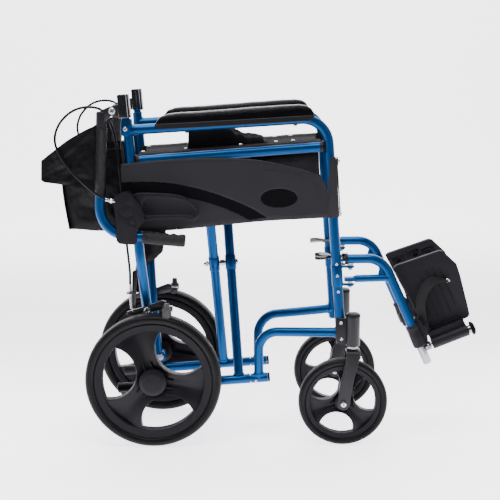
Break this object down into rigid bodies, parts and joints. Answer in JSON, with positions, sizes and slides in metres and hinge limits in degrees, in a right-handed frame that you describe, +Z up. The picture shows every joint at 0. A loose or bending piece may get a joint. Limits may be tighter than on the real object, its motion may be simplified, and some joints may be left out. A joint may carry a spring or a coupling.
{
  "type": "manual wheelchair",
  "caption": "Attendant-propelled folding wheelchair standing folded, with small rear wheels, front casters, cross braces, fabric seat and back, fold-down canes and swing-away footrests.",
  "frame": {"origin": "floor point under the middle of the folded chair's bounding box", "axes": "+X towards the footrests, +Y to the chair's left, +Z up; floor at Z = 0"},
  "size_m": [0.9534, 0.3168, 0.7905],
  "materials": {
    "frame_paint": "glossy blue powder coat",
    "black_plastic": "fine moulded grain",
    "black_paint": "satin black",
    "tyre_rubber": "matte rubber",
    "grip_rubber": "ribbed",
    "pad_foam": "grained skin",
    "nylon": "woven black nylon",
    "zinc": "zinc plated",
    "cable_jacket": "smooth jacket",
    "chrome_tube": "polished"
  },
  "bodies": {
    "right_frame": {"right_side_frame": "frame_paint", "right_armrest_pad": "pad_foam", "right_skirt_guard": "black_plastic", "right_caster_mount": "black_paint", "right_post_brackets": "black_paint", "right_frame_hardware": "zinc"},
    "right_rear_wheel": {"right_rear_tyre": "tyre_rubber", "right_rear_rim": "black_plastic"},
    "right_fork": {"right_caster_fork": "black_paint"},
    "right_caster": {"right_caster_tyre": "tyre_rubber", "right_caster_rim": "black_plastic"},
    "right_arm": {"right_brake_arm": "black_paint"},
    "right_cane": {"right_back_cane": "frame_paint", "right_grip": "grip_rubber", "right_brake_housing": "black_plastic", "right_brake_cable": "cable_jacket"},
    "right_lever": {"right_brake_lever": "black_plastic"},
    "right_rail": {"right_seat_rail": "frame_paint", "right_rail_guides": "black_plastic", "right_seat_edge": "nylon"},
    "right_seat": {"right_seat_panel": "nylon"},
    "right_back": {"right_back_panel": "nylon"},
    "right_upper_back": {"right_upper_back_panel": "nylon"},
    "right_hanger_body": {"right_hanger": "frame_paint", "right_footrest_extension": "chrome_tube"},
    "right_plate": {"right_footplate": "black_plastic"},
    "right_release": {"right_release_lever": "black_plastic"},
    "left_frame": {"left_side_frame": "frame_paint", "left_armrest_pad": "pad_foam", "left_skirt_guard": "black_plastic", "left_caster_mount": "black_paint", "left_post_brackets": "black_paint", "left_frame_hardware": "zinc"},
    "left_rear_wheel": {"left_rear_tyre": "tyre_rubber", "left_rear_rim": "black_plastic"},
    "left_fork": {"left_caster_fork": "black_paint"},
    "left_caster": {"left_caster_tyre": "tyre_rubber", "left_caster_rim": "black_plastic"},
    "left_arm": {"left_brake_arm": "black_paint"},
    "left_cane": {"left_back_cane": "frame_paint", "left_grip": "grip_rubber", "left_brake_housing": "black_plastic", "left_brake_cable": "cable_jacket"},
    "left_lever": {"left_brake_lever": "black_plastic"},
    "left_rail": {"left_seat_rail": "frame_paint", "left_rail_guides": "black_plastic", "left_seat_edge": "nylon"},
    "left_seat": {"left_seat_panel": "nylon"},
    "left_back": {"left_back_panel": "nylon"},
    "left_upper_back": {"left_upper_back_panel": "nylon"},
    "left_hanger_body": {"left_hanger": "frame_paint", "left_footrest_extension": "chrome_tube"},
    "left_plate": {"left_footplate": "black_plastic"},
    "left_release": {"left_release_lever": "black_plastic"},
    "right_brace": {"brace_right": "frame_paint", "brace_bolt": "zinc"},
    "left_brace": {"brace_left": "frame_paint"},
    "back_centre": {"back_middle": "nylon"},
    "upper_back_centre": {"upper_back_middle": "nylon"}
  },
  "joints": [
    {"name": "cross_fold", "type": "hinge", "parent": "right_frame", "child": "right_brace", "pos_m": [-0.07097, -0.068, 0.1339], "axis": [-0.9977, 0, -0.068], "range_deg": [0, 30], "deforming": ["right_seat_panel", "left_seat_panel", "right_back_panel", "left_back_panel", "back_middle", "right_upper_back_panel", "left_upper_back_panel", "upper_back_middle"]},
    {"name": "brace_scissor", "type": "hinge", "parent": "right_brace", "child": "left_brace", "pos_m": [-0.08872, 0, 0.39425], "axis": [-0.9977, 0, -0.068], "range_deg": [-60, 0]},
    {"name": "left_frame_upright", "type": "hinge", "parent": "left_brace", "child": "left_frame", "pos_m": [-0.07097, 0.068, 0.1339], "axis": [-0.9977, 0, -0.068], "range_deg": [0, 30]},
    {"name": "left_rail_level", "type": "hinge", "parent": "right_brace", "child": "left_rail", "pos_m": [-0.10647, 0.068, 0.65459], "axis": [-0.9977, 0, -0.068], "range_deg": [-30, 0]},
    {"name": "right_rail_level", "type": "hinge", "parent": "left_brace", "child": "right_rail", "pos_m": [-0.10647, -0.068, 0.65459], "axis": [-0.9977, 0, -0.068], "range_deg": [0, 30]},
    {"name": "left_seat_spread", "type": "hinge", "parent": "left_rail", "child": "left_seat", "pos_m": [-0.10724, 0.056, 0.66597], "axis": [-0.9977, 0, -0.068], "range_deg": [0, 73.59]},
    {"name": "right_seat_spread", "type": "hinge", "parent": "right_rail", "child": "right_seat", "pos_m": [-0.10724, -0.056, 0.66597], "axis": [-0.9977, 0, -0.068], "range_deg": [-73.59, 0]},
    {"name": "right_back_spread", "type": "hinge", "parent": "right_frame", "child": "right_back", "pos_m": [-0.29253, -0.112, 0.56984], "axis": [-0.068, 0, 0.9977], "range_deg": [-80.7, 0]},
    {"name": "left_back_spread", "type": "hinge", "parent": "left_frame", "child": "left_back", "pos_m": [-0.29253, 0.112, 0.56984], "axis": [-0.068, 0, 0.9977], "range_deg": [0, 80.7]},
    {"name": "back_centre_turn", "type": "hinge", "parent": "right_back", "child": "back_centre", "pos_m": [-0.44017, -0.08243, 0.55978], "axis": [-0.068, 0, 0.9977], "range_deg": [0, 80.7]},
    {"name": "right_upper_back_spread", "type": "hinge", "parent": "right_cane", "child": "right_upper_back", "pos_m": [-0.36012, -0.14, 0.62282], "axis": [0.0505, 0, 0.9987], "range_deg": [-94.66, 0]},
    {"name": "left_upper_back_spread", "type": "hinge", "parent": "left_cane", "child": "left_upper_back", "pos_m": [-0.36012, 0.14, 0.62282], "axis": [0.0505, 0, 0.9987], "range_deg": [0, 94.66]},
    {"name": "upper_back_centre_turn", "type": "hinge", "parent": "right_upper_back", "child": "upper_back_centre", "pos_m": [-0.47298, -0.1481, 0.62852], "axis": [0.0505, 0, 0.9987], "range_deg": [0, 94.66]},
    {"name": "right_rear_wheel_spin", "type": "hinge", "parent": "right_frame", "child": "right_rear_wheel", "pos_m": [-0.24597, -0.125, 0.1525], "axis": [0, 1, 0], "continuous": true},
    {"name": "right_caster_swivel", "type": "hinge", "parent": "right_frame", "child": "right_fork", "pos_m": [0.19953, -0.124, 0.24], "axis": [0, 0, 1], "continuous": true},
    {"name": "right_caster_spin", "type": "hinge", "parent": "right_fork", "child": "right_caster", "pos_m": [0.17803, -0.124, 0.1], "axis": [0, 1, 0], "continuous": true},
    {"name": "right_hanger_swing", "type": "hinge", "parent": "right_frame", "child": "right_hanger_body", "pos_m": [0.19303, -0.112, 0.4], "axis": [0, 0, -1], "range_deg": [0, 90]},
    {"name": "right_release_turn", "type": "hinge", "parent": "right_frame", "child": "right_release", "pos_m": [0.18203, -0.0945, 0.426], "axis": [0, 0, -1], "range_deg": [0, 25]},
    {"name": "right_plate_flip", "type": "hinge", "parent": "right_hanger_body", "child": "right_plate", "pos_m": [0.37303, -0.099, 0.222], "axis": [-0.929, 0, -0.37], "range_deg": [0, 90]},
    {"name": "left_rear_wheel_spin", "type": "hinge", "parent": "left_frame", "child": "left_rear_wheel", "pos_m": [-0.24597, 0.125, 0.1525], "axis": [0, 1, 0], "continuous": true},
    {"name": "left_caster_swivel", "type": "hinge", "parent": "left_frame", "child": "left_fork", "pos_m": [0.19953, 0.124, 0.24], "axis": [0, 0, 1], "continuous": true},
    {"name": "left_caster_spin", "type": "hinge", "parent": "left_fork", "child": "left_caster", "pos_m": [0.17803, 0.124, 0.1], "axis": [0, 1, 0], "continuous": true},
    {"name": "left_hanger_swing", "type": "hinge", "parent": "left_frame", "child": "left_hanger_body", "pos_m": [0.19303, 0.112, 0.4], "axis": [0, 0, 1], "range_deg": [0, 90]},
    {"name": "left_release_turn", "type": "hinge", "parent": "left_frame", "child": "left_release", "pos_m": [0.18203, 0.0945, 0.426], "axis": [0, 0, 1], "range_deg": [0, 25]},
    {"name": "left_plate_flip", "type": "hinge", "parent": "left_hanger_body", "child": "left_plate", "pos_m": [0.37303, 0.099, 0.222], "axis": [0.929, 0, 0.37], "range_deg": [0, 90]},
    {"name": "back_fold", "type": "hinge", "parent": "right_frame", "child": "right_cane", "pos_m": [-0.31697, -0.14, 0.753], "axis": [0, 1, 0], "range_deg": [0, 173.3], "deforming": ["right_brake_cable", "left_brake_cable"]},
    {"name": "left_back_fold", "type": "hinge", "parent": "left_frame", "child": "left_cane", "pos_m": [-0.31697, 0.14, 0.753], "axis": [0, 1, 0], "range_deg": [0, 173.3]},
    {"name": "right_lever_squeeze", "type": "hinge", "parent": "right_cane", "child": "right_lever", "pos_m": [-0.28097, -0.14, 0.51], "axis": [0, 1, 0], "range_deg": [0, 11]},
    {"name": "right_arm_press", "type": "hinge", "parent": "right_frame", "child": "right_arm", "pos_m": [-0.25997, -0.0875, 0.305], "axis": [0, 1, 0], "range_deg": [0, 1.7]},
    {"name": "left_lever_squeeze", "type": "hinge", "parent": "left_cane", "child": "left_lever", "pos_m": [-0.28097, 0.14, 0.51], "axis": [0, 1, 0], "range_deg": [0, 11]},
    {"name": "left_arm_press", "type": "hinge", "parent": "left_frame", "child": "left_arm", "pos_m": [-0.25997, 0.0875, 0.305], "axis": [0, 1, 0], "range_deg": [0, 1.7]}
  ],
  "couplings": [
    {"joint": "brace_scissor", "follows": "cross_fold", "ratio": -2},
    {"joint": "left_frame_upright", "follows": "cross_fold", "ratio": 1},
    {"joint": "left_rail_level", "follows": "cross_fold", "ratio": -1},
    {"joint": "right_rail_level", "follows": "cross_fold", "ratio": 1},
    {"joint": "left_seat_spread", "follows": "cross_fold", "ratio": 2.3864},
    {"joint": "right_seat_spread", "follows": "cross_fold", "ratio": -2.3864},
    {"joint": "right_back_spread", "follows": "cross_fold", "ratio": -2.6233},
    {"joint": "left_back_spread", "follows": "cross_fold", "ratio": 2.6233},
    {"joint": "back_centre_turn", "follows": "cross_fold", "ratio": 2.6233},
    {"joint": "right_upper_back_spread", "follows": "cross_fold", "ratio": -3.0886},
    {"joint": "left_upper_back_spread", "follows": "cross_fold", "ratio": 3.0886},
    {"joint": "upper_back_centre_turn", "follows": "cross_fold", "ratio": 3.0886},
    {"joint": "right_plate_flip", "follows": "cross_fold", "ratio": 3},
    {"joint": "left_plate_flip", "follows": "cross_fold", "ratio": 3},
    {"joint": "left_back_fold", "follows": "back_fold", "ratio": 1},
    {"joint": "right_arm_press", "follows": "right_lever_squeeze", "ratio": 0.145},
    {"joint": "left_arm_press", "follows": "left_lever_squeeze", "ratio": 0.145}
  ]
}
